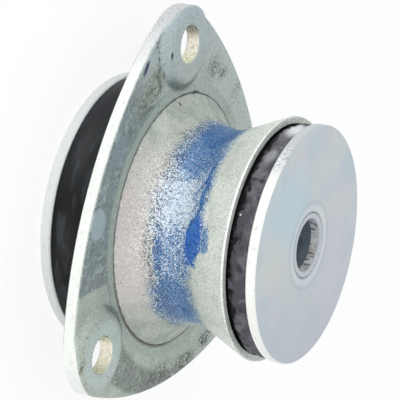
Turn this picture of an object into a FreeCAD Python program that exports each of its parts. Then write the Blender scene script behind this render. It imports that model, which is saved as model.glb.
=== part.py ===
import FreeCAD, Part
import math
import os

# Cab bump stop: a rubber bush moulded in a waisted steel sleeve on a three-hole flange plate.
# A tube runs through the rubber, and a steel disc is swaged onto each end of the tube.
# Units are millimetres. +Z runs along the bore, from the large rear disc up to the front disc.
# The origin is the centre of the rear disc's outer face, and +X passes through one bolt hole.

# Driving dimensions: heights, stacked from the front disc's face downwards
total_height = 70.0
front_disc_thickness = 3.2
front_gap = 6.8
rim_above_waist = 20.0
waist_above_plate = 15.8
plate_thickness = 4.2
rear_disc_thickness = 3.5

# Driving dimensions: end discs
front_disc_diameter = 75.0
rear_disc_diameter = 88.0
disc_edge_chamfer = 0.4
swage_dish_width = 2.6
swage_dish_depth = 0.25

# Driving dimensions: inner tube
bore_diameter = 16.5
bore_relief = 0.35
bore_mouth_chamfer = 0.3
spigot_wall = 2.15
shoulder_width = 2.6
joint_line_chamfer = 0.3

# Driving dimensions: flared sleeve
sleeve_waist_diameter = 62.8
flare_at_plate = 9.4
flare_at_rim = 7.6
sleeve_wall = 2.2
waist_blend_radius = 13.0
rim_edge_chamfer = 0.5

# Driving dimensions: flange plate
plate_width_at_side = 13.45
plate_edge_chamfer = 0.4
ear_tip_radius = 17.8
ear_tip_beyond_hole = 12.0
bolt_hole_count = 3
bolt_circle_diameter = 115.0
bolt_hole_diameter = 12.0
bolt_hole_chamfer = 0.3
pad_height = 2.3
pad_top_radius = 9.8
pad_slope_width = 5.4
pad_top_round = 5.0
pad_foot_round = 1.2
pad_hollow_inset = 0.9
pad_thinning = 0.5

# Driving dimensions: rubber
rear_rubber_edge_step = 0.8
rear_rubber_lip = 2.0
rear_rubber_waist = 2.2
front_rubber_edge_step = 1.2
front_rubber_bulge = 0.7
rim_groove_depth = 1.0
rim_groove_width = 0.5

# Heights above the base that follow from the driving dimensions
front_disc_back = total_height - front_disc_thickness
rim_height = front_disc_back - front_gap
waist_height = rim_height - rim_above_waist
plate_front_height = waist_height - waist_above_plate
plate_back_height = plate_front_height - plate_thickness

# Radii that follow from the driving dimensions
bore_radius = bore_diameter / 2
relief_radius = bore_radius + bore_relief
spigot_radius = bore_radius + spigot_wall
tube_radius = spigot_radius + shoulder_width
sleeve_waist_radius = sleeve_waist_diameter / 2
sleeve_end_radius = sleeve_waist_radius + flare_at_plate
sleeve_rim_radius = sleeve_waist_radius + flare_at_rim
plate_side_radius = sleeve_end_radius + plate_width_at_side
bolt_circle_radius = bolt_circle_diameter / 2


def at(radius, height):
    """A point of a turned profile, in the XZ plane."""
    return FreeCAD.Vector(radius, 0, height)


def line(start, end):
    return Part.LineSegment(start, end).toShape()


def arc(start, middle, end):
    return Part.Arc(start, middle, end).toShape()


def turned(edges):
    """The solid that a closed profile of edges makes, turned about the Z axis."""
    face = Part.Face(Part.Wire(edges))
    return face.revolve(FreeCAD.Vector(0, 0, 0), FreeCAD.Vector(0, 0, 1), 360)


def turned_polygon(points):
    """The turned solid of a closed profile with straight sides."""
    following = points[1:] + points[:1]
    return turned([line(a, b) for a, b in zip(points, following)])


def disc(bottom, thickness, diameter, dished_side):
    """An end disc with its spigot hole, dished on its outer side where the tube is swaged."""
    radius = diameter / 2
    top = bottom + thickness
    body = turned_polygon([
        at(spigot_radius, bottom),
        at(radius - disc_edge_chamfer, bottom),
        at(radius, bottom + disc_edge_chamfer),
        at(radius, top - disc_edge_chamfer),
        at(radius - disc_edge_chamfer, top),
        at(spigot_radius, top),
    ])
    outer = top if dished_side > 0 else bottom
    dish = turned_polygon([
        at(0, outer),
        at(spigot_radius + swage_dish_width, outer),
        at(spigot_radius, outer - dished_side * swage_dish_depth),
        at(0, outer - dished_side * swage_dish_depth),
    ])
    return body.cut(dish)


def front_disc():
    return disc(front_disc_back, front_disc_thickness, front_disc_diameter, 1)


def rear_disc():
    return disc(0, rear_disc_thickness, rear_disc_diameter, -1)


def inner_tube():
    """The tube: its shoulders carry the discs, its spigots fill their holes, and its bore
    has a land inside each disc and a slightly wider relief between them."""
    low = swage_dish_depth
    high = total_height - swage_dish_depth
    return turned_polygon([
        at(bore_radius + bore_mouth_chamfer, low),
        at(spigot_radius - joint_line_chamfer, low),
        at(spigot_radius, low + joint_line_chamfer),
        at(spigot_radius, rear_disc_thickness),
        at(tube_radius, rear_disc_thickness),
        at(tube_radius, front_disc_back),
        at(spigot_radius, front_disc_back),
        at(spigot_radius, high - joint_line_chamfer),
        at(spigot_radius - joint_line_chamfer, high),
        at(bore_radius + bore_mouth_chamfer, high),
        at(bore_radius, high - bore_mouth_chamfer),
        at(bore_radius, front_disc_back),
        at(relief_radius, front_disc_back - bore_relief),
        at(relief_radius, rear_disc_thickness + bore_relief),
        at(bore_radius, rear_disc_thickness),
        at(bore_radius, low + bore_mouth_chamfer),
    ])


class SleeveCurve:
    """The sleeve's waisted curve, inset by an offset: an arc that opens to the flange plate,
    a smaller blend at the waist, and a straight flare to the rim."""

    def __init__(self, inset):
        lower_arc = (flare_at_plate ** 2 + waist_above_plate ** 2) / (2 * flare_at_plate)
        self.lower_centre = sleeve_waist_radius + lower_arc
        self.lower_radius = lower_arc + inset
        self.blend_centre = sleeve_waist_radius + waist_blend_radius
        self.blend_radius = waist_blend_radius + inset
        self.flare_angle = self.angle_of_flare()
        self.end_radius = sleeve_end_radius - inset
        self.rim_radius = sleeve_rim_radius - inset / math.cos(self.flare_angle)

    def angle_of_flare(self):
        """The flare's angle from the axis, tangent to the blend and through the rim's edge."""
        across = waist_blend_radius - flare_at_rim
        reach = math.hypot(across, rim_above_waist)
        return math.atan2(rim_above_waist, across) - math.acos(waist_blend_radius / reach)

    def waist(self):
        return at(self.blend_centre - self.blend_radius, waist_height)

    def plate_end(self):
        """Where the lower arc meets the cylinder that sits in the plate."""
        across = self.lower_centre - self.end_radius
        drop = math.sqrt(self.lower_radius ** 2 - across ** 2)
        return at(self.end_radius, waist_height - drop)

    def on_blend(self, angle):
        radius = self.blend_centre - self.blend_radius * math.cos(angle)
        return at(radius, waist_height + self.blend_radius * math.sin(angle))

    def on_lower_arc(self, angle):
        radius = self.lower_centre - self.lower_radius * math.cos(angle)
        return at(radius, waist_height - self.lower_radius * math.sin(angle))

    def edges(self, top_height):
        """The curve's edges, from the plate up to a height on the flare."""
        start = self.plate_end()
        sweep = math.asin((waist_height - start.z) / self.lower_radius)
        top = self.on_flare(top_height)
        return [
            arc(start, self.on_lower_arc(sweep / 2), self.waist()),
            arc(self.waist(), self.on_blend(self.flare_angle / 2), self.on_blend(self.flare_angle)),
            line(self.on_blend(self.flare_angle), top),
        ]

    def on_flare(self, height):
        return at(self.rim_radius - (rim_height - height) * math.tan(self.flare_angle), height)


def flared_sleeve():
    """The sleeve: a short cylinder in the flange plate, a waist, and a flare to the rim."""
    outer = SleeveCurve(0)
    inner = SleeveCurve(sleeve_wall)
    rim_low = outer.on_flare(rim_height - rim_edge_chamfer)
    rim_out = at(outer.rim_radius - rim_edge_chamfer, rim_height)
    rim_in = inner.on_flare(rim_height)
    foot_out = at(outer.end_radius, plate_back_height)
    foot_in = at(inner.end_radius, plate_back_height)
    edges = [line(foot_out, outer.plate_end())]
    edges += outer.edges(rim_low.z)
    edges += [line(rim_low, rim_out), line(rim_out, rim_in)]
    edges += inner.edges(rim_height)
    edges += [line(inner.plate_end(), foot_in), line(foot_in, foot_out)]
    return turned(Part.__sortEdges__(edges))


def bonded_rubber():
    """One moulding: it fills the sleeve round the tube, stands out at the front up to the
    front disc, and spreads at the rear over the rear disc nearly to its edge."""
    inner = SleeveCurve(sleeve_wall)
    rear_edge = rear_disc_diameter / 2 - rear_rubber_edge_step
    front_edge = front_disc_diameter / 2 - front_rubber_edge_step
    rear_top = plate_back_height
    lip_top = at(rear_edge, rear_disc_thickness + rear_rubber_lip)
    rear_out = at(rear_edge, rear_top)
    rear_dip = at(rear_edge - rear_rubber_waist, (lip_top.z + rear_top) / 2)
    groove = inner.on_flare(rim_height - rim_groove_depth)
    groove_foot = at(groove.x - rim_groove_width, groove.z)
    groove_lip = at(groove_foot.x, rim_height)
    front_out = at(front_edge, front_disc_back)
    widest = max(front_edge, groove_lip.x) + front_rubber_bulge
    bulge = at(widest, (groove_lip.z + front_disc_back) / 2)
    edges = [
        line(at(tube_radius, rear_disc_thickness), at(rear_edge, rear_disc_thickness)),
        line(at(rear_edge, rear_disc_thickness), lip_top),
        arc(lip_top, rear_dip, rear_out),
        line(rear_out, at(inner.end_radius, rear_top)),
        line(at(inner.end_radius, rear_top), inner.plate_end()),
    ]
    edges += inner.edges(groove.z)
    edges += [
        line(groove, groove_foot),
        line(groove_foot, groove_lip),
        line(groove_lip, bulge),
        line(bulge, front_out),
        line(front_out, at(tube_radius, front_disc_back)),
        line(at(tube_radius, front_disc_back), at(tube_radius, rear_disc_thickness)),
    ]
    return turned(Part.__sortEdges__(edges))


def turn(vector, degrees):
    """A point turned about the Z axis."""
    return FreeCAD.Rotation(FreeCAD.Vector(0, 0, 1), degrees).multVec(vector)


def plate_outline(height):
    """The plate's outline: long convex sides that run smoothly into round ear tips."""
    step = 360 / bolt_hole_count
    half = math.radians(step / 2)
    tip = bolt_circle_radius + ear_tip_beyond_hole
    tip_centre = tip - ear_tip_radius
    inner = plate_side_radius - ear_tip_radius
    # The side arc's centre lies beyond the axis, so that the arc is tangent to both ears.
    offset = (tip_centre ** 2 - inner ** 2) / (2 * (inner - tip_centre * math.cos(half)))
    side_centre = FreeCAD.Vector(-offset * math.cos(half), -offset * math.sin(half), 0)
    ear_centre = FreeCAD.Vector(tip_centre, 0, 0)
    outward = ear_centre.sub(side_centre).normalize()
    join = ear_centre.add(outward.multiply(ear_tip_radius))
    join = FreeCAD.Vector(join.x, join.y, height)
    mirrored = FreeCAD.Vector(join.x, -join.y, height)
    tip_point = FreeCAD.Vector(tip, 0, height)
    middle = FreeCAD.Vector(plate_side_radius, 0, height)
    edges = []
    for ear in range(bolt_hole_count):
        angle = ear * step
        start = turn(mirrored, angle)
        end = turn(join, angle)
        edges.append(arc(start, turn(tip_point, angle), end))
        edges.append(arc(end, turn(middle, angle + step / 2), turn(mirrored, angle + step)))
    return Part.Wire(edges)


def pad():
    """A round pad: its straight flank runs smoothly out of a small round at the foot and into
    a larger round at the edge of the level top."""
    base_height = plate_front_height
    base_radius = pad_top_radius + pad_slope_width
    top_height = base_height + pad_height
    below = base_height - plate_thickness / 2
    top_centre = at(pad_top_radius, top_height - pad_top_round)
    foot_centre = at(base_radius, base_height + pad_foot_round)
    between = foot_centre.sub(top_centre)
    lean = math.acos((pad_foot_round + pad_top_round) / between.Length)
    flank_angle = math.atan2(between.z, between.x) + lean
    half_angle = (flank_angle + math.pi / 2) / 2

    def away(centre, distance, angle):
        return at(centre.x + distance * math.cos(angle), centre.z + distance * math.sin(angle))

    foot = at(base_radius, base_height)
    flank_low = away(foot_centre, -pad_foot_round, flank_angle)
    flank_high = away(top_centre, pad_top_round, flank_angle)
    top = at(pad_top_radius, top_height)
    return turned([
        line(at(0, below), at(base_radius, below)),
        line(at(base_radius, below), foot),
        arc(foot, away(foot_centre, -pad_foot_round, half_angle), flank_low),
        line(flank_low, flank_high),
        arc(flank_high, away(top_centre, pad_top_round, half_angle), top),
        line(top, at(0, top_height)),
        line(at(0, top_height), at(0, below)),
    ])


def pad_hollow():
    """The hollow that pressing a pad leaves in the plate's back, with a plain tapered side."""
    top_radius = pad_top_radius - pad_hollow_inset
    return turned_polygon([
        at(0, plate_back_height - plate_thickness),
        at(top_radius + pad_slope_width, plate_back_height - plate_thickness),
        at(top_radius + pad_slope_width, plate_back_height),
        at(top_radius, plate_back_height + pad_height - pad_thinning),
        at(0, plate_back_height + pad_height - pad_thinning),
    ])


def at_each_hole(shape):
    """Copies of a shape made on the Z axis, one at each bolt hole."""
    copies = []
    for hole in range(bolt_hole_count):
        copy = shape.copy()
        copy.translate(FreeCAD.Vector(bolt_circle_radius, 0, 0))
        copy.rotate(FreeCAD.Vector(0, 0, 0), FreeCAD.Vector(0, 0, 1), hole * 360 / bolt_hole_count)
        copies.append(copy)
    return copies


def bolt_hole():
    """The tool that cuts one bolt hole with a chamfer at both mouths."""
    radius = bolt_hole_diameter / 2
    mouth = radius + bolt_hole_chamfer
    low = plate_back_height + pad_height - pad_thinning
    high = plate_front_height + pad_height
    return turned_polygon([
        at(0, low - plate_thickness),
        at(mouth, low - plate_thickness),
        at(mouth, low),
        at(radius, low + bolt_hole_chamfer),
        at(radius, high - bolt_hole_chamfer),
        at(mouth, high),
        at(mouth, high + plate_thickness),
        at(0, high + plate_thickness),
    ])


def rim_edges(plate, outline):
    """The edges along the plate's outline, on its front and its back."""
    found = []
    for edge in plate.Edges:
        first, last = edge.ParameterRange
        samples = [edge.valueAt(first + (last - first) * share) for share in (0.1, 0.5, 0.9)]
        if abs(samples[0].x - samples[2].x) + abs(samples[0].y - samples[2].y) < 0.01:
            continue
        flat = [Part.Vertex(point.x, point.y, plate_back_height) for point in samples]
        if all(outline.distToShape(vertex)[0] < 0.01 for vertex in flat):
            found.append(edge)
    return found


def flange_plate():
    """The flange plate: pressed forward in a round pad at each ear, with the ear's back
    pressed in to match, so that the steel stays nearly as thick there."""
    outline = plate_outline(plate_back_height)
    face = Part.Face(outline)
    blank = face.extrude(FreeCAD.Vector(0, 0, plate_thickness))
    envelope = face.extrude(FreeCAD.Vector(0, 0, plate_thickness + pad_height))
    pads = [one.common(envelope) for one in at_each_hole(pad())]
    plate = blank.fuse(pads).removeSplitter()
    plate = plate.makeChamfer(plate_edge_chamfer, rim_edges(plate, outline))
    hollows = at_each_hole(pad_hollow())
    centre_hole = Part.makeCylinder(sleeve_end_radius, total_height)
    seam = Part.makeCone(
        sleeve_end_radius,
        sleeve_end_radius + 2 * joint_line_chamfer,
        2 * joint_line_chamfer,
        FreeCAD.Vector(0, 0, plate_front_height - joint_line_chamfer),
    )
    return plate.cut([centre_hole, seam] + hollows + at_each_hole(bolt_hole()))


def main():
    parts = {
        "flange_plate": flange_plate(),
        "flared_sleeve": flared_sleeve(),
        "bonded_rubber": bonded_rubber(),
        "inner_tube": inner_tube(),
        "front_disc": front_disc(),
        "rear_disc": rear_disc(),
    }
    os.makedirs("parts", exist_ok=True)
    for name, shape in parts.items():
        shape.exportStep("parts/" + name + ".step")


main()
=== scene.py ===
# A used cab bump stop, standing on its rear disc: a rubber bush between two zinc-plated steel
# discs, in a waisted steel sleeve on a three-eared flange plate. Meshes are in metres, and the
# sizes of the pieces below are in millimetres. +Z runs along the bore to the front disc.
import math
import bmesh
import bpy
from mathutils import Matrix, Vector, noise


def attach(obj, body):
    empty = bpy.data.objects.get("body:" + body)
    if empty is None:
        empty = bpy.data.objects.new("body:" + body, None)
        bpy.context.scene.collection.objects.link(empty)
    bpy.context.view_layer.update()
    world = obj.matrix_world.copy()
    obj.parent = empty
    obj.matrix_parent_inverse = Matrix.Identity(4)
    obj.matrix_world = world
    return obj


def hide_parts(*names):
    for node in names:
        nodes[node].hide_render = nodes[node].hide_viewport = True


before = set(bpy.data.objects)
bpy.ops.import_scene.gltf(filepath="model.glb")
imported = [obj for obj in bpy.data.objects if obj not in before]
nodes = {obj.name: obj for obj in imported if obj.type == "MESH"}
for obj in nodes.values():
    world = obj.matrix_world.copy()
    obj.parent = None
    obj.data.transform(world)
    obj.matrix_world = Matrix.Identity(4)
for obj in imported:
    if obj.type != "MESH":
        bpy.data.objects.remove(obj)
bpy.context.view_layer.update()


# Inner tube
# A turned steel tube down the middle of the rubber, its two ends fitted into the discs. Its
# bore is drilled, and reamed at the mouth, so fine lines run along it. It is dark inside, as
# bare steel with painted shade of the deep bore on it.

def linear(hex_colour):
    """An sRGB hex colour as the linear values that a shader takes."""
    channels = [int(hex_colour[k:k + 2], 16) / 255 for k in (1, 3, 5)]
    return [c / 12.92 if c <= 0.04045 else ((c + 0.055) / 1.055) ** 2.4 for c in channels] + [1.0]


def add_node(tree, kind, links, output=0, **settings):
    """Adds a shader node with its settings, links each input to a socket or gives it a value,
    and returns one of its outputs."""
    node = tree.nodes.new(kind)
    for name, value in settings.items():
        setattr(node, name, value)
    for key, value in links.items():
        if isinstance(value, bpy.types.NodeSocket):
            tree.links.new(value, node.inputs[key])
        else:
            node.inputs[key].default_value = value
    return node.outputs[output] if len(node.outputs) else node


def start_finish(name):
    """A new material, its empty tree, and the place on the piece in millimetres."""
    material = bpy.data.materials.new(name)
    material.use_nodes = True
    tree = material.node_tree
    tree.nodes.clear()
    metres = add_node(tree, "ShaderNodeTexCoord", {}, "Object")
    place = add_node(tree, "ShaderNodeVectorMath", {0: metres, 3: 1000.0}, operation="SCALE")
    return material, tree, place


def end_finish(tree, coats, roughness, metallic, height, depth, shine=0.5):
    """Lays the coats over each other, first to last, and joins them to the surface. A coat is
    a colour and the masks or strengths that it is laid through. The height pattern stands
    depth millimetres proud."""
    colour = linear(coats[0][0])
    for hex_colour, *masks in coats[1:]:
        laid = masks[0]
        for mask in masks[1:]:
            laid = add_node(tree, "ShaderNodeMath", {0: laid, 1: mask}, operation="MULTIPLY")
        colour = add_node(tree, "ShaderNodeMix", {0: laid, 6: colour, 7: linear(hex_colour)}, 2,
                          data_type="RGBA")
    relief = add_node(tree, "ShaderNodeBump", {"Height": height, "Strength": 1.0,
                                               "Distance": depth / 1000})
    surface = add_node(tree, "ShaderNodeBsdfPrincipled", {
        "Base Color": colour, "Metallic": metallic, "Roughness": roughness, "Normal": relief,
        "Specular IOR Level": shine})
    add_node(tree, "ShaderNodeOutputMaterial", {0: surface})


def specks(tree, place, size, low, high, most, seed=0.0, detail=2.0):
    """A mask of specks about size millimetres across. A higher low leaves fewer of them, and
    most is the strength or the mask that they reach."""
    pattern = add_node(tree, "ShaderNodeTexNoise", {"Vector": place, "W": seed, "Scale": 1 / size,
                                                    "Detail": detail}, noise_dimensions="4D")
    return add_node(tree, "ShaderNodeMapRange", {0: pattern, 1: low, 2: high, 4: most},
                    interpolation_type="SMOOTHSTEP")


def between(tree, value, low, high, soft, most=1.0):
    """A mask of the surface where a value lies between two limits, with soft ends."""
    rise = add_node(tree, "ShaderNodeMapRange", {0: value, 1: low - soft, 2: low + soft, 4: most},
                    interpolation_type="SMOOTHSTEP")
    return add_node(tree, "ShaderNodeMapRange", {0: value, 1: high + soft, 2: high - soft, 4: rise},
                    interpolation_type="SMOOTHSTEP")


def round_the_bore(tree, place):
    """The distance from the bore's axis in millimetres, and the angle round it from 0 to 360."""
    flat = add_node(tree, "ShaderNodeVectorMath", {0: place, 1: (-1, -1, 0)}, operation="MULTIPLY")
    reach = add_node(tree, "ShaderNodeVectorMath", {0: flat}, "Value", operation="LENGTH")
    x = add_node(tree, "ShaderNodeSeparateXYZ", {0: flat}, "X")
    y = add_node(tree, "ShaderNodeSeparateXYZ", {0: flat}, "Y")
    turned = add_node(tree, "ShaderNodeMath", {0: y, 1: x}, operation="ARCTAN2")
    angle = add_node(tree, "ShaderNodeMath", {0: turned, 1: 180 / math.pi, 2: 180.0},
                     operation="MULTIPLY_ADD")
    return reach, angle


def dress(node_name, material):
    """Puts a material on a CAD node."""
    nodes[node_name].data.materials.clear()
    nodes[node_name].data.materials.append(material)


# Bare reamed steel: a light grey land at the mouth with dark and bright lines along it, and a
# dark, blue-grey bore behind it, bare steel with painted shade of the bore's depth. The lines
# are specks drawn out five times along the bore.
reamed_steel, tree, place = start_finish("reamed_tube_steel")
height = add_node(tree, "ShaderNodeSeparateXYZ", {0: place}, "Z")
reach, _ = round_the_bore(tree, place)
along = add_node(tree, "ShaderNodeVectorMath", {0: place, 1: (1, 1, 0.2)}, operation="MULTIPLY")
x = add_node(tree, "ShaderNodeSeparateXYZ", {0: place}, "X")
off_middle = add_node(tree, "ShaderNodeMath", {0: x}, operation="ABSOLUTE")
# behind_land paints the bore behind the land darker and bluer: bare steel, and painted shade of the
# deep bore.
behind_land = between(tree, height, 3.4, 66.8, 0.3, 0.92)
end_face = between(tree, height, 69.3, 70.5, 0.1)
# The dark joint ring round the tube's end is real; ring_ends makes it stronger towards ±X as
# painted shade of the step there.
ring_ends = add_node(tree, "ShaderNodeMapRange", {0: off_middle, 1: 3.0, 2: 9.0, 3: 0.25, 4: 0.9})
coats = [
    ("#ececec",),
    ("#a8a4a4", specks(tree, place, 3.0, 0.42, 0.6, 0.6, 3.0)),
    ("#5c6063", specks(tree, along, 0.7, 0.54, 0.6, 0.85, 1.0)),
    ("#fafaf8", specks(tree, along, 0.5, 0.56, 0.62, 0.7, 2.0)),
    ("#6d7a86", behind_land),
    ("#bfc5ca", end_face, 0.95),
    ("#5d6469", end_face, between(tree, reach, 10.1, 11.0, 0.12), ring_ends),
    ("#a9aeb1", end_face, between(tree, reach, 8.0, 8.75, 0.15, 0.6)),
]
lines = add_node(tree, "ShaderNodeTexNoise", {"Vector": along, "Scale": 1 / 0.6, "Detail": 3.0})
dull = add_node(tree, "ShaderNodeMapRange", {0: behind_land, 3: 0.36, 4: 0.6})
end_finish(tree, coats, dull, 0.4, lines, 0.1)
dress("inner_tube", reamed_steel)


# Bonded rubber
# One moulding of black rubber, bonded to the steel all round. At the rear it came smooth out
# of the mould. At the front the flash was torn off, which left it lumpy, with a ragged
# groove along the sleeve's rim, whose shade is painted on as a near-black band.

# The outline is turned round the bore's axis. Each point is a radius and a height.
tube_radius = 13.0
rear_disc_front = 3.5
front_disc_back = 66.8
rear_neck = [
    (43.1, 3.5), (43.2, 3.7), (43.2, 5.5), (42.35, 7.4), (41.5, 9.6), (41.0, 12.0),
    (41.0, 13.5), (41.5, 15.9), (42.35, 18.1), (43.2, 19.8), (43.2, 20.0),
]
bonded_wall = [
    (38.55, 20.0), (38.55, 24.4), (36.1, 27.0), (31.6, 32.6), (29.4, 37.5), (29.2, 40.0),
    (29.6, 43.5), (31.8, 50.0), (34.6, 56.9),
]
front_band = [
    (34.9, 58.2), (35.1, 59.2), (35.4, 60.0), (36.0, 60.6), (36.5, 61.2), (36.8, 61.8),
    (36.9, 62.4), (37.0, 63.0), (37.0, 63.6), (36.9, 64.2), (36.8, 64.8), (36.7, 65.4),
    (36.5, 66.0), (36.3, 66.5), (36.0, 66.75),
]
outline = [(tube_radius, rear_disc_front)] + rear_neck + bonded_wall + front_band
outline.append((tube_radius, front_disc_back))
steps_round = 300

shape = bmesh.new()
corners = [shape.verts.new((r / 1000, 0, z / 1000)) for r, z in outline]
sides = [shape.edges.new(pair) for pair in zip(corners, corners[1:] + corners[:1])]
bmesh.ops.spin(shape, geom=corners + sides, axis=(0, 0, 1), cent=(0, 0, 0),
               angle=2 * math.pi, steps=steps_round, use_merge=True)
bmesh.ops.remove_doubles(shape, verts=shape.verts, dist=1e-6)
bmesh.ops.recalc_face_normals(shape, faces=shape.faces)

# The lumps fade out at the sleeve's rim and at the front disc. They stand in and out of a
# face that lies a little deeper than the outline, and come in two sizes, 7 and 2 mm.
lump_height = 0.9
lump_sink = 0.35
lumps_from = 60.2
lumps_to = 66.7
lumps_fade = 1.2
lumps_beyond_radius = 30
wide_lumps = 150
small_lumps = 430
for vertex in shape.verts:
    reach = vertex.co.xy.length * 1000
    height = vertex.co.z * 1000
    share = min((height - lumps_from) / lumps_fade, (lumps_to - height) / lumps_fade, 1)
    if share > 0 and reach > lumps_beyond_radius:
        lump = noise.noise(vertex.co * wide_lumps) + 0.5 * noise.noise(vertex.co * small_lumps)
        scale = 1 + share * (lump_height * lump - lump_sink) / reach
        vertex.co.x *= scale
        vertex.co.y *= scale
for face in shape.faces:
    face.smooth = True
rubber_mesh = bpy.data.meshes.new("rubber_moulding")
shape.to_mesh(rubber_mesh)
shape.free()
rubber_moulding = bpy.data.objects.new("rubber_moulding", rubber_mesh)
bpy.context.scene.collection.objects.link(rubber_moulding)


def patch(tree, across, along, middle, half, soft, most, turn=0.0):
    """A mask of a soft oval on a surface that has the two coordinates across and along."""
    point = add_node(tree, "ShaderNodeCombineXYZ", {0: across, 1: along})
    local = add_node(tree, "ShaderNodeMapping", {
        "Vector": point, "Location": (*middle, 0), "Rotation": (0, 0, math.radians(turn)),
        "Scale": (*half, 1)}, vector_type="TEXTURE")
    out = add_node(tree, "ShaderNodeVectorMath", {0: local}, "Value", operation="LENGTH")
    return add_node(tree, "ShaderNodeMapRange", {0: out, 1: 1 + soft, 2: 1 - soft, 4: most},
                    interpolation_type="SMOOTHSTEP")


# Carbon-black rubber: nearly black with a soft sheen where it left the mould, painted lighter
# towards +X as a sheen, and dark grey with a dusty bloom where it was torn.
black_rubber, tree, place = start_finish("carbon_black_rubber")
x = add_node(tree, "ShaderNodeSeparateXYZ", {0: place}, "X")
y = add_node(tree, "ShaderNodeSeparateXYZ", {0: place}, "Y")
height = add_node(tree, "ShaderNodeSeparateXYZ", {0: place}, "Z")
_, angle = round_the_bore(tree, place)
at_front = add_node(tree, "ShaderNodeMapRange", {0: height, 1: 45.0, 2: 46.0})
slow_angle = add_node(tree, "ShaderNodeMath", {0: angle, 1: 0.15}, operation="MULTIPLY")
round_about = add_node(tree, "ShaderNodeCombineXYZ", {0: slow_angle, 1: height})
ragged = add_node(tree, "ShaderNodeTexNoise", {"Vector": place, "Scale": 1 / 3.3, "Detail": 4.0})
torn = add_node(tree, "ShaderNodeMath", {0: ragged, 1: 9.0, 2: height}, operation="MULTIPLY_ADD")
# Painted shade: a ragged near-black band in the groove along the sleeve's rim.
painted_groove_shade = add_node(tree, "ShaderNodeMapRange", {0: torn, 1: 66.6, 2: 65.8, 4: at_front})
near_top = add_node(tree, "ShaderNodeMapRange", {0: x, 1: 20.0, 2: 25.0, 4: at_front})
# Painted sheen: the rubber is painted lighter towards +X.
painted_sheen_to_plus_x = add_node(tree, "ShaderNodeMapRange", {0: x, 1: 12.0, 2: 40.0})
coats = [
    ("#08080a",),
    # Painted sheen towards +X.
    ("#26282b", painted_sheen_to_plus_x),
    ("#303438", specks(tree, round_about, 2.2, 0.5, 0.66, 0.8, 8.0, 3.0)),
    ("#434349", at_front),
    ("#66676c", at_front, specks(tree, place, 7.0, 0.45, 0.62, 0.75, 4.0, 3.0)),
    ("#85868a", at_front, specks(tree, place, 2.4, 0.56, 0.75, 0.55, 5.0)),
    ("#17171a", at_front, specks(tree, place, 3.0, 0.55, 0.68, 0.75, 6.0)),
    # Torn flash at the +X side of the front rubber, painted near white as a highlight.
    ("#cfd0d2", patch(tree, y, height, (1.5, 64.6), (5.0, 2.0), 0.6, near_top)),
    ("#a2a3a7", at_front, patch(tree, angle, height, (29.0, 64.0), (5.0, 1.6), 0.7, 0.6)),
    # Painted shade in the groove by the sleeve's rim.
    ("#0a0a0b", painted_groove_shade, 0.95),
    ("#e4e4e4", patch(tree, angle, height, (61.8, 61.9), (0.42, 0.27), 0.4, 0.9)),
]
skin = add_node(tree, "ShaderNodeTexNoise", {"Vector": place, "Scale": 1 / 1.4, "Detail": 3.0})
skin = add_node(tree, "ShaderNodeMapRange", {0: skin, 4: at_front})
rough = add_node(tree, "ShaderNodeMapRange", {0: at_front, 3: 0.38, 4: 0.58})
end_finish(tree, coats, rough, 0.0, skin, 0.25, shine=0.22)
rubber_mesh.materials.append(black_rubber)
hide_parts("bonded_rubber")
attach(rubber_moulding, "root")


# Flared sleeve
# A steel sleeve formed to a waist, fixed in the flange plate and zinc plated. Blue marking
# paint was daubed round the waist, thick in a few strokes and thin between them, where it
# holds only on the tips of the grain.

# Each daub: the angle and height of its middle, half its width and height, its softness and
# its strength. Angles and widths are in degrees round the bore, from +X.
paint_daubs = [
    ((0, 40.4), (29, 7.4), 0.4, 1.05), ((360, 40.4), (29, 7.4), 0.4, 1.05),
    ((28, 40.4), (20, 7.6), 0.4, 0.86), ((52, 40.5), (36, 8.0), 0.5, 0.3),
    ((48, 46.0), (26, 3.2), 0.5, 0.62), ((50, 46.9), (24, 1.1), 0.5, 1.0),
    ((79, 46.6), (14, 3.0), 0.3, 1.3), ((77, 51.2), (7, 1.7), 0.4, 0.8),
    ((88, 40.2), (18, 6.2), 0.45, 0.68), ((90, 34.7), (16, 1.5), 0.5, 0.85),
    ((124, 38.8), (27, 7.2), 0.4, 0.86), ((129, 40.3), (6, 2.2), 0.6, 1.0),
    ((132, 33.6), (22, 1.6), 0.6, 0.65), ((205, 40.0), (46, 5.6), 0.4, 0.6),
    ((262, 39.5), (26, 6.4), 0.4, 0.8), ((318, 40.5), (34, 6.0), 0.4, 0.9),
]

# Zinc over a formed steel sheet: a dull, pale green-grey crystal grain, pinker at the foot,
# with sparkling specks, which are painted glints on the side facing the lamps and over the
# paint. The real grain is about 0.2 mm, and it is drawn at 0.4 to 0.6 mm so that it shows.
painted_zinc, tree, place = start_finish("dull_zinc_with_blue_paint")
_, angle = round_the_bore(tree, place)
height = add_node(tree, "ShaderNodeSeparateXYZ", {0: place}, "Z")

# The daubs' outlines wander by up to 7 degrees and 2 mm.
wander = add_node(tree, "ShaderNodeTexNoise", {"Vector": place, "Scale": 1 / 3.0, "Detail": 4.0})
wavy_angle = add_node(tree, "ShaderNodeMath", {0: wander, 1: 14.0, 2: angle},
                      operation="MULTIPLY_ADD")
wavy_angle = add_node(tree, "ShaderNodeMath", {0: wavy_angle, 1: 7.0}, operation="SUBTRACT")
wavy_height = add_node(tree, "ShaderNodeMath", {0: wander, 1: 4.0, 2: height},
                       operation="MULTIPLY_ADD")
wavy_height = add_node(tree, "ShaderNodeMath", {0: wavy_height, 1: 2.0}, operation="SUBTRACT")
paint = 0.0
for middle, half, soft, strength in paint_daubs:
    daub = patch(tree, wavy_angle, wavy_height, middle, half, soft, strength)
    paint = add_node(tree, "ShaderNodeMath", {0: paint, 1: daub}, operation="MAXIMUM")

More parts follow.
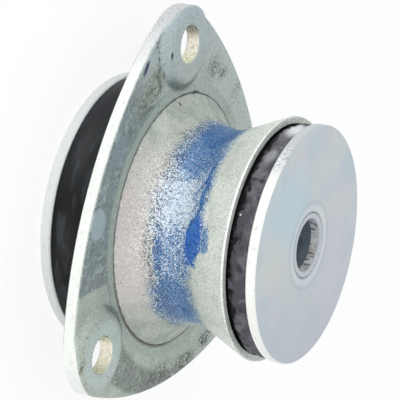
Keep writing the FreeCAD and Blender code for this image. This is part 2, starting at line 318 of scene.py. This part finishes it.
# Thin paint breaks up on the grain: a place is covered where the strength of its paint and
# the height of its tip together pass a limit.
tips = add_node(tree, "ShaderNodeTexNoise", {"Vector": place, "Scale": 1 / 0.43, "Detail": 2.0})
broken = add_node(tree, "ShaderNodeMath", {0: tips, 1: 2.6, 2: paint}, operation="MULTIPLY_ADD")
cover = add_node(tree, "ShaderNodeMapRange", {0: broken, 1: 1.55, 2: 2.15, 4: 0.95})
thick = add_node(tree, "ShaderNodeMapRange", {0: broken, 1: 2.1, 2: 2.8, 4: 0.95})
veil = add_node(tree, "ShaderNodeMapRange", {0: paint, 1: 0.05, 2: 0.9, 4: 0.5})
painted = add_node(tree, "ShaderNodeMapRange", {0: paint, 1: 0.1, 2: 0.4})
thin = add_node(tree, "ShaderNodeMapRange", {0: paint, 1: 0.95, 2: 0.65, 4: painted})
blot = patch(tree, wavy_angle, wavy_height, (80, 46.6), (15, 3.1), 0.5, 1.0, -7)
blot = add_node(tree, "ShaderNodeMath", {0: tips, 1: 1.4, 2: blot}, operation="MULTIPLY_ADD")
blot = add_node(tree, "ShaderNodeMapRange", {0: blot, 1: 1.1, 2: 1.45, 4: 0.85})

# Where the colour changes: darker at the foot on the plate, lighter on the flare, partly as a
# painted broad highlight, and the side facing the lamps, whose grain carries painted glints.
foot = add_node(tree, "ShaderNodeMapRange", {0: height, 1: 34.0, 2: 30.0})
flare = add_node(tree, "ShaderNodeMapRange", {0: height, 1: 44.0, 2: 50.0})
pink_foot = between(tree, angle, 46.0, 122.0, 20.0, foot)
dusty_foot = between(tree, angle, 40.0, 80.0, 14.0, foot)
# The side facing the lamps: its grain is drawn in stronger contrast, and its white specks are
# painted glints.
glinting_side = between(tree, height, 28.5, 44.0, 4.0)
glinting_side = between(tree, angle, 35.0, 104.0, 16.0, glinting_side)
daub_edge = between(tree, wavy_height, 30.8, 35.8, 1.6)
# lip: where the painted highlight on the sleeve's rim is strongest, on the side facing the lamps.
lip = between(tree, angle, 44.0, 92.0, 12.0)
lip = add_node(tree, "ShaderNodeMapRange", {0: lip, 3: 0.1, 4: 0.7})
line_height = add_node(tree, "ShaderNodeMath", {0: wander, 1: 0.5, 2: height},
                       operation="MULTIPLY_ADD")
coats = [
    ("#b9c0b2",),
    # The flare is paler zinc, painted lighter still as a broad highlight.
    ("#e7ece3", flare),
    ("#8f9a92", foot, 0.6),
    ("#c8cdc2", specks(tree, place, 7.0, 0.4, 0.65, 0.7, 1.0, 3.0)),
    ("#e6ebe3", flare, specks(tree, place, 5.0, 0.4, 0.6, 0.7, 10.0, 3.0)),
    ("#d3cac5", pink_foot),
    ("#b9b1ab", dusty_foot, 0.5),
    ("#c5c2b9", foot, specks(tree, place, 9.0, 0.45, 0.65, 0.6, 2.0)),
    ("#8f958d", specks(tree, place, 0.55, 0.54, 0.66, 0.4, 3.0)),
    ("#f0f2ec", specks(tree, place, 0.55, 0.55, 0.67, 0.4, 4.0)),
    ("#fdfbf2", flare, specks(tree, place, 0.45, 0.54, 0.62, 0.65, 13.0)),
    ("#9fa99f", flare, specks(tree, place, 0.45, 0.56, 0.63, 0.5, 14.0)),
    # Dark grain specks and painted white glints on the side facing the lamps.
    ("#77726b", glinting_side, specks(tree, place, 0.5, 0.48, 0.57, 0.75, 5.0)),
    ("#faf6f3", glinting_side, specks(tree, place, 0.5, 0.54, 0.62, 0.9, 11.0)),
    ("#a4c2e2", veil),
    # Painted highlight: a pale blue-white patch across the waist, where the lamps reflect.
    ("#e4edf4", patch(tree, wavy_angle, wavy_height, (66, 38.3), (24, 6.5), 0.5, 0.85)),
    ("#085a98", cover),
    ("#0a4490", thick),
    ("#2560bd", blot),
    ("#152f60", painted, specks(tree, place, 0.42, 0.52, 0.6, 0.85, 6.0)),
    ("#60addb", painted, specks(tree, place, 0.42, 0.54, 0.61, 0.5, 12.0)),
    ("#e8f1f8", thin, specks(tree, place, 0.5, 0.54, 0.61, 0.85, 7.0)),
    # Painted glints: white sparkles over the paint.
    ("#eef6fa", painted, specks(tree, place, 0.5, 0.67, 0.71, 0.85, 19.0)),
    ("#2c3a55", daub_edge, specks(tree, place, 0.45, 0.5, 0.575, 0.85, 8.0)),
    # Painted highlight: a light line along the sleeve's rim.
    ("#f2f3ee", between(tree, height, 59.4, 62.0, 0.2), lip),
    ("#50564f", specks(tree, place, 0.8, 0.8, 0.83, 0.6, 9.0, 0.0)),
    ("#3f443e", patch(tree, angle, height, (5.0, 25.3), (0.7, 0.5), 0.4, 0.9)),
    ("#4a4e48", between(tree, line_height, 24.0, 24.6, 0.1, 0.7)),
]
crystals = add_node(tree, "ShaderNodeTexNoise", {"Vector": place, "Scale": 1 / 0.55, "Detail": 3.0})
gloss = add_node(tree, "ShaderNodeMapRange", {0: cover, 3: 0.5, 4: 0.36})
bare = add_node(tree, "ShaderNodeMapRange", {0: cover, 3: 0.5, 4: 0.1})
end_finish(tree, coats, gloss, bare, crystals, 0.3)
dress("flared_sleeve", painted_zinc)


# Flange plate
# A pressed steel plate, zinc plated, with a bolt hole in a raised pad at each ear. A
# blue-grey stain covers the outer band of its face, the slopes of the pads that face the
# sleeve carry painted shade, one stretch is rough and dark, and the edge is painted near
# white as a highlight, with scuffs on it.

bolt_circle_radius = 57.5
bolt_hole_radius = 6.0
pad_foot_radius = 15.2

# Marks on the front face, each an oval: its middle and half sizes in X and Y, its softness,
# strength, turn in degrees and colour, and whether it is broken into specks.
face_marks = [
    ((12.1, 50.0), (4.8, 4.3), 0.12, 0.85, 0, "#b0bfc0", False),
    ((31.5, 38.6), (5.0, 3.0), 0.4, 0.5, -40, "#94a4ac", False),
    ((-2.5, 48.5), (0.35, 3.4), 0.4, 0.7, 5, "#c4cbc8", False),
    ((54.1, 23.0), (0.75, 2.6), 0.4, 0.95, 50, "#27335c", False),
    ((55.6, 11.1), (1.2, 0.45), 0.5, 0.95, 0, "#303a4a", False),
    ((53.6, 15.4), (5.4, 0.6), 0.5, 0.9, 6, "#4b524f", True),
    ((60.3, 16.6), (2.6, 0.8), 0.5, 0.8, -30, "#4e5450", True),
    ((65.0, 13.5), (1.6, 0.8), 0.5, 0.8, -40, "#4e5450", True),
    ((45.6, -21.0), (3.4, 4.2), 0.8, 0.75, 20, "#4d5352", True),
    ((42.6, -27.0), (1.8, 3.0), 0.7, 0.8, 20, "#4a5150", True),
    ((34.6, -37.0), (2.2, 12.0), 0.8, 0.45, 40, "#666d69", True),
    ((-47.8, -20.5), (2.2, 4.5), 0.5, 1.0, 10, "#353b38", True),
    ((-51.0, -6.5), (2.6, 6.0), 0.5, 1.0, 0, "#3c423f", True),
    ((-49.5, 10.0), (3.0, 9.0), 0.6, 0.7, 0, "#454c46", True),
    ((-29.5, 61.8), (1.0, 3.2), 0.5, 0.8, 60, "#6d655f", True),
    ((39.6, -8.9), (0.8, 2.6), 0.4, 0.9, -12, "#3b403b", False),
]

# Zinc over a pressed steel plate: a flat, pale green-grey with a fine grain, stained and
# scuffed on its face. Its edge is painted near white as a highlight, and the creamy bolt holes
# are painted near white where lit, with painted shade on their +X walls and painted light on
# their -X walls. The grain is coarser than the real one here too, at 0.6 mm.
stained_zinc, tree, place = start_finish("stained_zinc_plate")
reach, angle = round_the_bore(tree, place)
x = add_node(tree, "ShaderNodeSeparateXYZ", {0: place}, "X")
y = add_node(tree, "ShaderNodeSeparateXYZ", {0: place}, "Y")
height = add_node(tree, "ShaderNodeSeparateXYZ", {0: place}, "Z")

# How far each place is from the nearest bolt hole's axis, and in a hole, how far towards +X.
far_off = 999.0
hole_reach = 8.0
from_hole = far_off
above_hole = 0.0
for ear in range(3):
    turn = math.radians(120 * ear)
    hole = (bolt_circle_radius * math.cos(turn), bolt_circle_radius * math.sin(turn), 0)
    offset = add_node(tree, "ShaderNodeVectorMath", {0: place, 1: hole}, operation="SUBTRACT")
    offset = add_node(tree, "ShaderNodeVectorMath", {0: offset, 1: (1, 1, 0)}, operation="MULTIPLY")
    distance = add_node(tree, "ShaderNodeVectorMath", {0: offset}, "Value", operation="LENGTH")
    from_hole = add_node(tree, "ShaderNodeMath", {0: from_hole, 1: distance}, operation="MINIMUM")
    offset_x = add_node(tree, "ShaderNodeSeparateXYZ", {0: offset}, "X")
    inside = add_node(tree, "ShaderNodeMath", {0: distance, 1: hole_reach},
                      operation="LESS_THAN")
    above_hole = add_node(tree, "ShaderNodeMath", {0: offset_x, 1: inside, 2: above_hole},
                          operation="MULTIPLY_ADD")

# The limits of the stain, the strip and the seam wander. Those of the rough stretch lean with
# the angle.
wander = add_node(tree, "ShaderNodeTexNoise", {"Vector": place, "Scale": 1 / 3.3, "Detail": 4.0})
wavy_reach = add_node(tree, "ShaderNodeMath", {0: wander, 1: 1.6, 2: reach},
                      operation="MULTIPLY_ADD")
fine_reach = add_node(tree, "ShaderNodeMath", {0: wander, 1: 0.9, 2: reach},
                      operation="MULTIPLY_ADD")
leaning = add_node(tree, "ShaderNodeMath", {0: angle, 1: -0.1, 2: reach}, operation="MULTIPLY_ADD")
outward = add_node(tree, "ShaderNodeMath", {0: angle, 1: 0.07, 2: wavy_reach},
                   operation="MULTIPLY_ADD")
front = between(tree, height, 24.0, 30.0, 0.1)
level = between(tree, height, 24.0, 24.5, 0.1)
stain = between(tree, angle, 27.0, 120.0, 8.0, level)
stain = between(tree, x, -8.0, 90.0, 0.25, stain)
stain = between(tree, wavy_reach, 45.6, 90.0, 0.35, stain)
green_end = patch(tree, x, y, (46.0, 19.0), (9.0, 4.6), 0.4, level, -52)
strip = between(tree, wavy_reach, 40.0, 45.4, 0.4, front)
strip_line = between(tree, angle, 12.0, 112.0, 10.0, front)
strip_line = between(tree, wavy_reach, 44.9, 45.7, 0.35, strip_line)
rough_place = between(tree, angle, 130.0, 184.0, 8.0, level)
rough_place = between(tree, leaning, 33.2, 60.0, 1.2, rough_place)
rough_place = between(tree, outward, 0.0, 68.6, 0.9, rough_place)
rough_place = between(tree, from_hole, pad_foot_radius + 0.1, 90.0, 0.3, rough_place)
# pad_foot: painted shade on the slopes of the pads that face the sleeve.
pad_foot = between(tree, reach, 38.0, 48.5, 2.0)
pad_foot = between(tree, from_hole, 12.4, pad_foot_radius - 0.1, 1.0, pad_foot)
pad_top = between(tree, from_hole, 6.0, 10.5, 1.5, front)
seam = between(tree, fine_reach, 41.2, 41.5, 0.12, front)
wide_seam = between(tree, angle, 105.0, 172.0, 12.0, front)
wide_seam = between(tree, fine_reach, 41.2, 42.2, 0.2, wide_seam)

# The faces that look sideways: the walls of the holes and the plate's edge.
normal = add_node(tree, "ShaderNodeTexCoord", {}, "Normal")
facing_up = add_node(tree, "ShaderNodeSeparateXYZ", {0: normal}, "Z")
sideways = between(tree, facing_up, -0.35, 0.35, 0.1)
in_hole = between(tree, from_hole, 0.0, bolt_hole_radius + 0.4, 0.1, sideways)
edge = between(tree, from_hole, hole_reach, 900.0, 0.1, sideways)
edge_top = add_node(tree, "ShaderNodeMapRange", {0: x, 1: 54.0, 2: 66.0, 4: edge})
# Painted shade on the +X walls of the bolt holes, and painted light on their -X walls.
hole_wall_painted_shade = add_node(tree, "ShaderNodeMapRange", {0: above_hole, 1: 1.2, 2: 3.8, 4: in_hole})
hole_wall_painted_light = add_node(tree, "ShaderNodeMapRange", {0: above_hole, 1: -2.5, 2: -5.4, 4: in_hole})
far_end = add_node(tree, "ShaderNodeMapRange", {0: x, 1: 30.0, 2: 68.0, 4: 0.85})
right_side = add_node(tree, "ShaderNodeMapRange", {0: y, 1: -12.0, 2: -34.0, 4: front})
near_end = add_node(tree, "ShaderNodeMapRange", {0: x, 1: 0.0, 2: -25.0, 4: pad_top})
small = specks(tree, place, 0.6, 0.46, 0.53, front, 11.0)
coats = [
    ("#aeb7ac",),
    ("#bfc6bb", specks(tree, place, 6.0, 0.4, 0.65, 0.8, 1.0, 4.0)),
    ("#aebabf", far_end),
    ("#c1cec9", near_end, 0.85),
    ("#c3ccc9", right_side, 0.6),
    ("#adb8ae", strip),
    ("#83918a", strip_line, 0.7),
    ("#8c9695", stain),
    ("#a7b4b1", stain, specks(tree, place, 2.6, 0.5, 0.62, 0.85, 3.0, 4.0)),
    ("#5f6b6e", stain, specks(tree, place, 1.2, 0.53, 0.61, 0.55, 4.0, 3.0)),
    ("#818881", rough_place, specks(tree, place, 2.5, 0.3, 0.45, 0.85, 5.0, 3.0)),
    ("#525a53", rough_place, specks(tree, place, 0.6, 0.5, 0.58, 0.65, 6.0)),
    ("#b6bcb4", rough_place, specks(tree, place, 0.55, 0.55, 0.61, 0.55, 12.0)),
    # Painted shade on the pad slopes that face the sleeve.
    ("#76827c", pad_foot),
    ("#818880", specks(tree, place, 0.55, 0.54, 0.66, 0.55, 7.0)),
    ("#e6e9e4", specks(tree, place, 0.55, 0.56, 0.68, 0.35, 8.0)),
    ("#535a55", specks(tree, place, 0.8, 0.75, 0.79, 0.6, 9.0, 0.0)),
    ("#8a9486", green_end, 0.75),
    ("#4f594d", green_end, specks(tree, place, 1.4, 0.49, 0.55, 0.75, 13.0, 3.0)),
    ("#c0c8be", green_end, specks(tree, place, 1.1, 0.56, 0.62, 0.7, 14.0, 3.0)),
]
ragged_x = add_node(tree, "ShaderNodeMath", {0: wander, 1: 2.0, 2: x}, operation="MULTIPLY_ADD")
ragged_x = add_node(tree, "ShaderNodeMath", {0: ragged_x, 1: 1.0}, operation="SUBTRACT")
for middle, half, soft, strength, turn, colour, in_specks in face_marks:
    mark = patch(tree, ragged_x, y, middle, half, soft, strength, turn)
    coats.append((colour, mark, small if in_specks else front))
coats += [
    ("#787168", wide_seam, 0.7),
    ("#454a44", seam, 0.65),
    # Painted highlight: the plate's edge near white, greyer towards the +X end, with scuff specks
    # on it.
    ("#eceee9", edge),
    ("#cfcbc8", edge, specks(tree, place, 2.0, 0.58, 0.68, 0.4, 10.0, 3.0)),
    ("#c9cbcd", edge_top, 0.9),
    ("#9d9897", edge_top, specks(tree, place, 0.8, 0.54, 0.62, 0.5, 15.0, 3.0)),
    # The hole walls are creamy, painted near white as lit, with the painted shade and light below.
    ("#fbf4e4", in_hole),
    ("#d0c6b4", in_hole, specks(tree, place, 1.6, 0.48, 0.6, 0.5, 16.0, 3.0)),
    ("#727e60", hole_wall_painted_shade, 0.9),
    ("#d8dab8", hole_wall_painted_light, 0.9),
    ("#858268", in_hole, specks(tree, place, 0.7, 0.56, 0.63, 0.3, 17.0)),
    ("#fbf9ee", in_hole, specks(tree, place, 0.7, 0.53, 0.6, 0.9, 18.0)),
]
grain = add_node(tree, "ShaderNodeTexNoise", {"Vector": place, "Scale": 1 / 0.65, "Detail": 3.0})
end_finish(tree, coats, 0.5, 0.5, grain, 0.3)
dress("flange_plate", stained_zinc)


# End discs
# Two round steel discs, zinc plated and clear passivated, one at each end of the rubber.
# Their edges are painted near white as a highlight, and handling nicked the front one at the top.

# Clear passivated zinc: smooth and light grey, with faint clouds of blue, straw and lilac.
clear_zinc, tree, place = start_finish("clear_zinc_disc")
x = add_node(tree, "ShaderNodeSeparateXYZ", {0: place}, "X")
y = add_node(tree, "ShaderNodeSeparateXYZ", {0: place}, "Y")
height = add_node(tree, "ShaderNodeSeparateXYZ", {0: place}, "Z")
reach, _ = round_the_bore(tree, place)
normal = add_node(tree, "ShaderNodeTexCoord", {}, "Normal")
facing_up = add_node(tree, "ShaderNodeSeparateXYZ", {0: normal}, "Z")
sideways = between(tree, facing_up, -0.9, 0.9, 0.05)
at_front = add_node(tree, "ShaderNodeMapRange", {0: height, 1: 30.0, 2: 31.0})
front_edge = add_node(tree, "ShaderNodeMapRange", {0: height, 1: 30.0, 2: 31.0, 4: sideways})
front_edge_top = add_node(tree, "ShaderNodeMapRange", {0: x, 1: 26.0, 2: 34.0, 4: front_edge})
nicked = patch(tree, x, y, (33.9, 20.0), (2.6, 6.0), 0.5, at_front, 30)
# Painted shade: the disc face is painted darker and bluer towards -X.
far_side = add_node(tree, "ShaderNodeMapRange", {0: x, 1: 0.0, 2: -40.0, 4: 0.8})
coats = [
    ("#cad0d0",),
    ("#bdc9d0", specks(tree, place, 12.0, 0.42, 0.62, 0.8, 1.0)),
    ("#cdcbd0", specks(tree, place, 9.0, 0.5, 0.7, 0.6, 2.0)),
    ("#bcc0c7", far_side),
    ("#bdd2dc", patch(tree, x, y, (15.0, 17.0), (10.0, 13.0), 0.8, 0.7, 20)),
    ("#d4d3c6", patch(tree, x, y, (2.0, 25.0), (7.0, 8.0), 0.8, 0.4)),
    ("#d0cbd3", patch(tree, x, y, (-8.0, -20.0), (17.0, 11.0), 0.8, 0.5)),
    ("#e4e8ea", specks(tree, place, 0.7, 0.58, 0.72, 0.2, 3.0)),
    # Painted highlight and shade of the shallow swaged dish round the tube: a light ring, then a
    # darker one.
    ("#e4e6e6", between(tree, reach, 11.0, 12.6, 0.4, 0.35)),
    ("#a5abb0", between(tree, reach, 13.3, 14.2, 0.5, 0.3)),
    ("#7f868b", between(tree, reach, 10.0, 10.8, 0.15, 0.4)),
    # Painted highlight: the discs' edges light, the front one's near white and greyer towards +X.
    ("#dde0df", sideways),
    ("#efefea", front_edge),
    ("#c3c7c9", front_edge_top),
    ("#b6babb", sideways, specks(tree, place, 1.5, 0.6, 0.72, 0.5, 4.0, 3.0)),
    ("#8d9296", nicked, specks(tree, place, 0.8, 0.52, 0.6, 0.8, 5.0)),
    ("#ffffff", nicked, specks(tree, place, 0.6, 0.56, 0.62, 0.9, 6.0)),
]
rolled = add_node(tree, "ShaderNodeTexNoise", {"Vector": place, "Scale": 1 / 2.5, "Detail": 3.0})
end_finish(tree, coats, 0.5, 0.45, rolled, 0.12)
dress("front_disc", clear_zinc)
dress("rear_disc", clear_zinc)


# Studio
# A white floor and a white surround, a soft key lamp on the side of the top ear, and a weaker
# one from the viewer's side.

floor_half_size = 6.0
floor_mesh = bpy.data.meshes.new("studio_floor")
shape = bmesh.new()
bmesh.ops.create_grid(shape, x_segments=1, y_segments=1, size=floor_half_size)
shape.to_mesh(floor_mesh)
shape.free()
studio_floor = bpy.data.objects.new("studio_floor", floor_mesh)
bpy.context.scene.collection.objects.link(studio_floor)

# White paper: it glows by itself where the camera or a reflection sees it, and its matt part
# takes the shadow.
glowing_share = 0.86
white_paper = bpy.data.materials.new("white_paper")
white_paper.use_nodes = True
tree = white_paper.node_tree
tree.nodes.clear()
seen = add_node(tree, "ShaderNodeLightPath", {}, "Is Camera Ray")
mirrored = add_node(tree, "ShaderNodeLightPath", {}, "Is Glossy Ray")
share = add_node(tree, "ShaderNodeMath", {0: seen, 1: mirrored}, operation="MAXIMUM")
share = add_node(tree, "ShaderNodeMath", {0: share, 1: glowing_share}, operation="MULTIPLY")
matt = add_node(tree, "ShaderNodeBsdfDiffuse", {"Color": linear("#fcfcfc")})
glow = add_node(tree, "ShaderNodeEmission", {"Color": (1, 1, 1, 1), "Strength": 1.0})
surface = add_node(tree, "ShaderNodeMixShader", {0: share, 1: matt, 2: glow})
add_node(tree, "ShaderNodeOutputMaterial", {0: surface})
floor_mesh.materials.append(white_paper)

# The surround is white to the camera, and lights the part a little more weakly.
surround = bpy.data.worlds.new("studio_surround")
bpy.context.scene.world = surround
surround.use_nodes = True
tree = surround.node_tree
tree.nodes.clear()
seen = add_node(tree, "ShaderNodeLightPath", {}, "Is Camera Ray")
dim = add_node(tree, "ShaderNodeBackground", {"Color": linear("#f2f5f8"), "Strength": 0.9})
white = add_node(tree, "ShaderNodeBackground", {"Color": (1, 1, 1, 1), "Strength": 1.0})
sky = add_node(tree, "ShaderNodeMixShader", {0: seen, 1: dim, 2: white})
add_node(tree, "ShaderNodeOutputWorld", {0: sky})

# Each lamp: its angle round the bore from +X and its height above the level in degrees, its
# distance and width in metres, and its power. Both look at the middle of the part.
part_middle = Vector((0, 0, 0.035))
soft_lamps = [
    ("key_lamp", 30, 20, 0.8, 0.6, 2.6),
    ("viewer_lamp", 105, 14, 0.9, 0.7, 2.2),
]
for name, azimuth, elevation, distance, width, watts in soft_lamps:
    lamp = bpy.data.lights.new(name, "AREA")
    lamp.size = width
    lamp.energy = watts
    turn = math.radians(azimuth)
    tilt = math.radians(elevation)
    towards = Vector((math.cos(turn) * math.cos(tilt), math.sin(turn) * math.cos(tilt),
                      math.sin(tilt)))
    holder = bpy.data.objects.new(name, lamp)
    holder.location = part_middle + towards * distance
    holder.rotation_euler = towards.to_track_quat("Z", "Y").to_euler()
    bpy.context.scene.collection.objects.link(holder)

# The camera looks down on the part as it stands, rolled so that the bore runs to the right.
lens = bpy.data.cameras.new("photo_camera")
lens.sensor_width = 36.0
lens.lens = 162.0
lens.clip_start = 0.01
lens.clip_end = 50.0
camera = bpy.data.objects.new("photo_camera", lens)
right = Vector((0.031988, -0.471724, 0.881166))
up = Vector((0.952427, -0.252954, -0.169992))
back = Vector((0.303084, 0.844684, 0.441191))
viewpoint = Vector((0.180478, 0.481168, 0.282930))
placed = Matrix((right, up, back)).transposed().to_4x4()
placed.translation = viewpoint
camera.matrix_world = placed
bpy.context.scene.collection.objects.link(camera)
bpy.context.scene.camera = camera
bpy.context.scene.view_settings.view_transform = "Standard"
